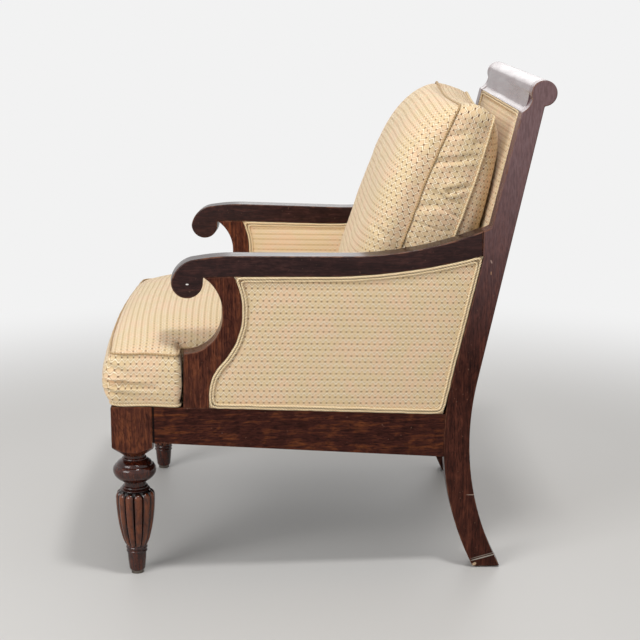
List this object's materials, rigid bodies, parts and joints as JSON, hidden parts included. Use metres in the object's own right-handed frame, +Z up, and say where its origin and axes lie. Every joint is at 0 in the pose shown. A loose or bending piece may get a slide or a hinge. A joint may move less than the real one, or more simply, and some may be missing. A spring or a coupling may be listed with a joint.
{
  "type": "lounge chair",
  "caption": "Show-wood lounge chair with scrolled open arms, reeded turned front legs, sabre rear legs, upholstered sides and back, and loose boxed cushions.",
  "frame": {"origin": "on the floor, under the middle of the chair's bounding box", "axes": "+Z up, the chair faces -Y, and the sitter's left is +X"},
  "size_m": [0.7002, 0.824, 0.914],
  "materials": {
    "mahogany": "dark red-brown stain under gloss lacquer",
    "frame_beech": "sawn and unfinished",
    "woven_cover": "woven beige and gold with small red-brown dots",
    "welt_cord": "cord covered in the same woven cloth",
    "foam": "open-cell foam",
    "jute_webbing": "coarse woven strap",
    "hessian": "open weave",
    "cotton_felt": "soft matted felt",
    "platform_cloth": "plain woven",
    "black_cambric": "thin pressed cloth",
    "screw_steel": "zinc plated",
    "glide_steel": "polished by the floor"
  },
  "bodies": {
    "chair_frame": {"front_leg_left": "mahogany", "front_leg_right": "mahogany", "rear_post_left": "mahogany", "rear_post_right": "mahogany", "side_rail_left": "mahogany", "side_rail_right": "mahogany", "arm_left": "mahogany", "arm_right": "mahogany", "arm_post_left": "mahogany", "arm_post_right": "mahogany", "crest_rail": "mahogany", "front_rail": "mahogany", "rear_rail": "mahogany", "arm_screw_plugs": "mahogany", "lower_back_rail": "frame_beech", "corner_blocks": "frame_beech", "outer_side_panel_left": "woven_cover", "outer_side_panel_right": "woven_cover", "inner_side_panel_left": "woven_cover", "inner_side_panel_right": "woven_cover", "inner_back_panel": "woven_cover", "outer_back_panel": "woven_cover", "outer_side_welt_left": "welt_cord", "outer_side_welt_right": "welt_cord", "inner_side_welt_left": "welt_cord", "inner_side_welt_right": "welt_cord", "inner_back_welt": "welt_cord", "outer_back_welt": "welt_cord", "back_webbing": "jute_webbing", "seat_webbing_long": "jute_webbing", "seat_webbing_cross": "jute_webbing", "seat_hessian": "hessian", "deck_pad": "cotton_felt", "deck_cover": "platform_cloth", "dust_cover": "black_cambric", "corner_block_screws": "screw_steel", "arm_screws": "screw_steel", "floor_glides": "glide_steel"},
    "seat_cushion": {"seat_cushion_cover": "woven_cover", "seat_cushion_core": "foam"},
    "back_cushion": {"back_cushion_cover": "woven_cover", "back_cushion_core": "foam"}
  },
  "joints": [
    {"name": "seat_cushion_slide", "type": "slide", "parent": "chair_frame", "child": "seat_cushion", "axis": [0, -0.9984, 0.056], "range_m": [0, 0.55]},
    {"name": "back_cushion_lift", "type": "slide", "parent": "chair_frame", "child": "back_cushion", "axis": [0, 0.2283, 0.9736], "range_m": [0, 0.45]}
  ]
}
